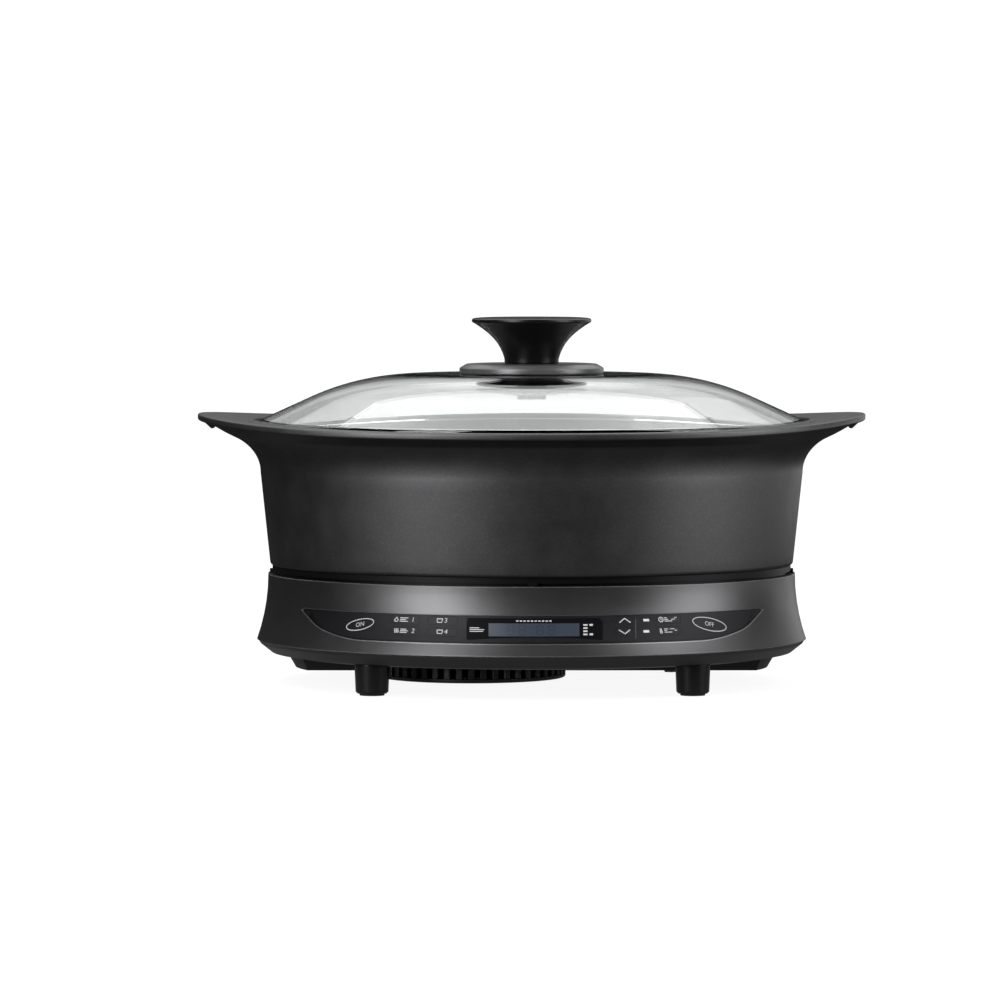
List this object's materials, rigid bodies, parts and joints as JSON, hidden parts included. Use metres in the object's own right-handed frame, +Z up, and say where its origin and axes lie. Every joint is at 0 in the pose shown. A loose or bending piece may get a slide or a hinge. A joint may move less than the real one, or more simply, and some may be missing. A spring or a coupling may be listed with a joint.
{
  "type": "induction grill pot",
  "caption": "Oval induction base with a curved key panel, a lift-off oval pot with end handles and a lift-off glass lid with a knob.",
  "frame": {"origin": "on the table under the middle of the object's box", "axes": "+X towards the right handle seen from the panel, +Y away from the panel, +Z up"},
  "size_m": [0.357, 0.283, 0.195],
  "materials": {
    "clear_glass": "clear toughened glass",
    "gloss_black": "gloss black moulding",
    "dark_grey_metal": "satin dark grey",
    "black_rubber": "matt black",
    "steel": "bright steel",
    "charcoal_coating": "satin charcoal with fine speckle",
    "graphite_plastic": "satin graphite",
    "black_plate": "black heat-proof plate",
    "black_plastic": "matt black moulding",
    "foot_plastic": "satin black moulding",
    "panel_sheet": "dark printed sheet",
    "key_cap": "dark printed keys",
    "display_window": "smoked window",
    "lamp_lens": "clear lens",
    "membrane": "printed film",
    "display_cell": "blue grey cell",
    "circuit_board": "green board",
    "copper_wire": "enamelled copper",
    "carrier_plastic": "natural heat-proof moulding",
    "ferrite": "dark ferrite",
    "mica": "mica sheet",
    "bare_aluminium": "bare extrusion",
    "capacitor_sleeve": "sleeved can",
    "brass_pin": "plated pins"
  },
  "bodies": {
    "base": {"upper_housing": "graphite_plastic", "top_frame": "black_plastic", "top_plate": "black_plate", "top_plate_seal": "black_rubber", "bottom_cover": "graphite_plastic", "bottom_tray": "black_plastic", "foot_front_left": "foot_plastic", "foot_front_right": "foot_plastic", "foot_rear_left": "foot_plastic", "foot_rear_right": "foot_plastic", "foot_pads": "black_rubber", "fan_grille": "black_plastic", "housing_screws": "dark_grey_metal", "tray_screws": "dark_grey_metal", "control_panel": "panel_sheet", "lcd_window": "display_window", "indicator_lights": "lamp_lens", "key_membrane": "membrane", "lcd_module": "display_cell", "control_board": "circuit_board", "buzzer": "black_plastic", "induction_coil": "copper_wire", "coil_carrier": "carrier_plastic", "ferrite_bars": "ferrite", "mica_sheet": "mica", "thermistor_holder": "carrier_plastic", "main_board": "circuit_board", "heat_sink": "bare_aluminium", "power_transistor": "black_plastic", "bridge_rectifier": "black_plastic", "capacitors": "capacitor_sleeve", "choke": "copper_wire", "board_screws": "steel", "fan_frame": "black_plastic", "fan_motor": "steel", "power_inlet": "black_plastic", "inlet_pins": "brass_pin"},
    "pot": {"pot": "charcoal_coating", "pot_induction_plate": "steel"},
    "lid": {"lid_glass": "clear_glass", "knob": "gloss_black", "knob_base": "dark_grey_metal", "knob_gasket": "black_rubber", "knob_washer": "gloss_black", "knob_screw": "steel"},
    "fan_rotor": {"fan_rotor": "black_plastic"},
    "key_start": {"key_start": "key_cap"},
    "key_menu_1": {"key_menu_1": "key_cap"},
    "key_menu_2": {"key_menu_2": "key_cap"},
    "key_menu_3": {"key_menu_3": "key_cap"},
    "key_menu_4": {"key_menu_4": "key_cap"},
    "key_up": {"key_up": "key_cap"},
    "key_down": {"key_down": "key_cap"},
    "key_mode_1": {"key_mode_1": "key_cap"},
    "key_mode_2": {"key_mode_2": "key_cap"},
    "key_off": {"key_off": "key_cap"}
  },
  "joints": [
    {"name": "pot_lift", "type": "slide", "parent": "base", "child": "pot", "axis": [0, 0, 1], "range_m": [0, 0.15]},
    {"name": "lid_lift", "type": "slide", "parent": "pot", "child": "lid", "axis": [0, 0, 1], "range_m": [0, 0.15]},
    {"name": "fan_spin", "type": "hinge", "parent": "base", "child": "fan_rotor", "pos_m": [-0.032, -0.021, 0.03], "axis": [0, 0, 1], "continuous": true},
    {"name": "press_start", "type": "slide", "parent": "base", "child": "key_start", "axis": [0.5352, 0.7503, -0.388], "range_m": [0, 0.0004], "stiffness_N_per_m": 400},
    {"name": "press_menu_1", "type": "slide", "parent": "base", "child": "key_menu_1", "axis": [0.388, 0.8431, -0.3724], "range_m": [0, 0.0004], "stiffness_N_per_m": 400},
    {"name": "press_menu_2", "type": "slide", "parent": "base", "child": "key_menu_2", "axis": [0.3712, 0.8018, -0.4683], "range_m": [0, 0.0004], "stiffness_N_per_m": 400},
    {"name": "press_menu_3", "type": "slide", "parent": "base", "child": "key_menu_3", "axis": [0.2673, 0.879, -0.3948], "range_m": [0, 0.0004], "stiffness_N_per_m": 400},
    {"name": "press_menu_4", "type": "slide", "parent": "base", "child": "key_menu_4", "axis": [0.2546, 0.8317, -0.4935], "range_m": [0, 0.0004], "stiffness_N_per_m": 400},
    {"name": "press_up", "type": "slide", "parent": "base", "child": "key_up", "axis": [-0.2733, 0.8776, -0.3939], "range_m": [0, 0.0004], "stiffness_N_per_m": 400},
    {"name": "press_down", "type": "slide", "parent": "base", "child": "key_down", "axis": [-0.2604, 0.8305, -0.4924], "range_m": [0, 0.0004], "stiffness_N_per_m": 400},
    {"name": "press_mode_1", "type": "slide", "parent": "base", "child": "key_mode_1", "axis": [-0.4171, 0.8319, -0.3659], "range_m": [0, 0.0004], "stiffness_N_per_m": 400},
    {"name": "press_mode_2", "type": "slide", "parent": "base", "child": "key_mode_2", "axis": [-0.3994, 0.7924, -0.461], "range_m": [0, 0.0004], "stiffness_N_per_m": 400},
    {"name": "press_off", "type": "slide", "parent": "base", "child": "key_off", "axis": [-0.5523, 0.7407, -0.3825], "range_m": [0, 0.0004], "stiffness_N_per_m": 400}
  ]
}
